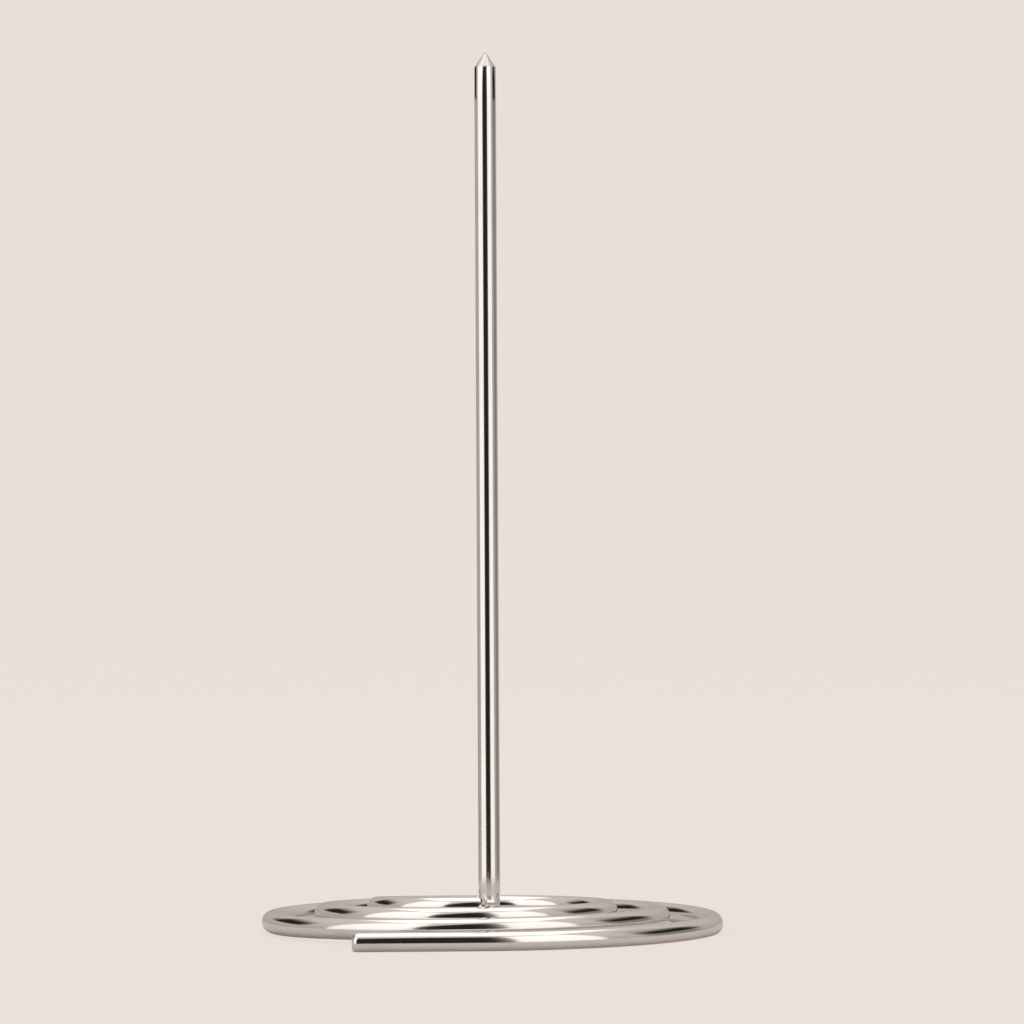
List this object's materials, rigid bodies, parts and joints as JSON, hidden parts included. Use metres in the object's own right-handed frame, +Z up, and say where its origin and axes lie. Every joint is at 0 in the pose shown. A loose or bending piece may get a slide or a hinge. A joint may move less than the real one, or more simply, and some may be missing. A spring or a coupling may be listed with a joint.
{
  "type": "bill spike",
  "caption": "Desk bill spike: a straight pointed chrome rod on a low wound wire base, for holding paper slips.",
  "frame": {"origin": "on the standing surface, in the middle of the base's outline", "axes": "+Z up along the spike, -Y to the front, where the wire's free end lies, +X to the right seen from the front"},
  "size_m": [0.0866, 0.0922, 0.1636],
  "materials": {
    "base_wire": "bright plated wire, smooth and mirror-like",
    "weld_metal": "plated weld metal, a little duller than the wire",
    "spike": "bright plated rod with a ground point"
  },
  "bodies": {
    "root": {"spiral_base": "base_wire", "weld_nugget": "weld_metal", "spike_rod": "spike"}
  },
  "joints": []
}
